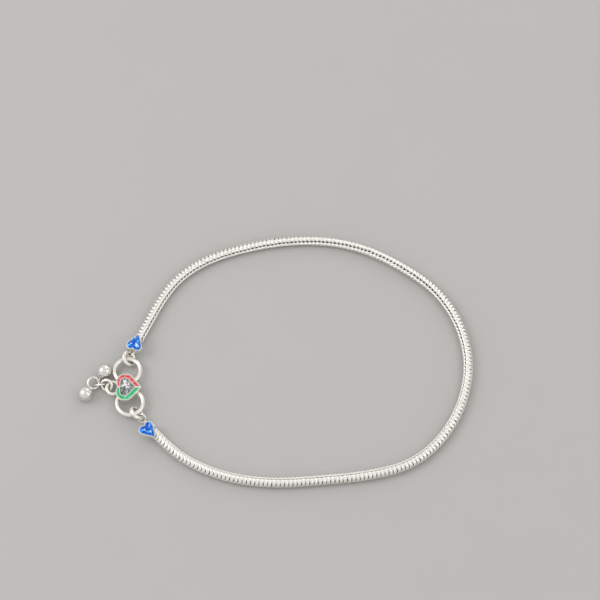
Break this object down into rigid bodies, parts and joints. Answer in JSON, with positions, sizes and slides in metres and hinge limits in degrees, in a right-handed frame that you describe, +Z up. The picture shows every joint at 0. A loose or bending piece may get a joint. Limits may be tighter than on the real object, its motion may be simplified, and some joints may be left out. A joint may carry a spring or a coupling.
{
  "type": "payal anklet",
  "caption": "Silver payal anklet lying in a closed loop: foxtail chain, S-hook clasp with an enamelled heart, blue hearts at the chain's ends and a two-bell drop.",
  "frame": {"origin": "centre of the bounding box, on the surface that the anklet lies on", "axes": "+Z up from the surface; +X from the clasp and bells across the loop; +Y across the loop, from the lower end of the clasp towards the upper one"},
  "size_m": [0.1067, 0.0743, 0.0046],
  "materials": {
    "chain_silver": "polished silver links, darker in the gaps",
    "polished_silver": "polished silver wire and castings with faint handling marks",
    "bell_silver": "polished thin silver sheet",
    "red_enamel": "glossy translucent red enamel",
    "green_enamel": "glossy translucent green enamel",
    "grey_glass": "faceted clear grey glass stone",
    "blue_glass": "faceted royal blue glass stone"
  },
  "bodies": {
    "root": {"chain": "chain_silver", "clasp_hook": "polished_silver", "end_setting_upper": "polished_silver", "end_setting_lower": "polished_silver", "jump_ring_upper": "polished_silver", "jump_ring_lower": "polished_silver", "drop_ring": "polished_silver", "bail_link": "polished_silver", "bell_ring": "polished_silver", "bell_upper": "bell_silver", "bell_lower": "bell_silver", "red_enamel": "red_enamel", "green_enamel": "green_enamel", "grey_stone": "grey_glass", "blue_stone_upper": "blue_glass", "blue_stone_lower": "blue_glass"}
  },
  "joints": []
}
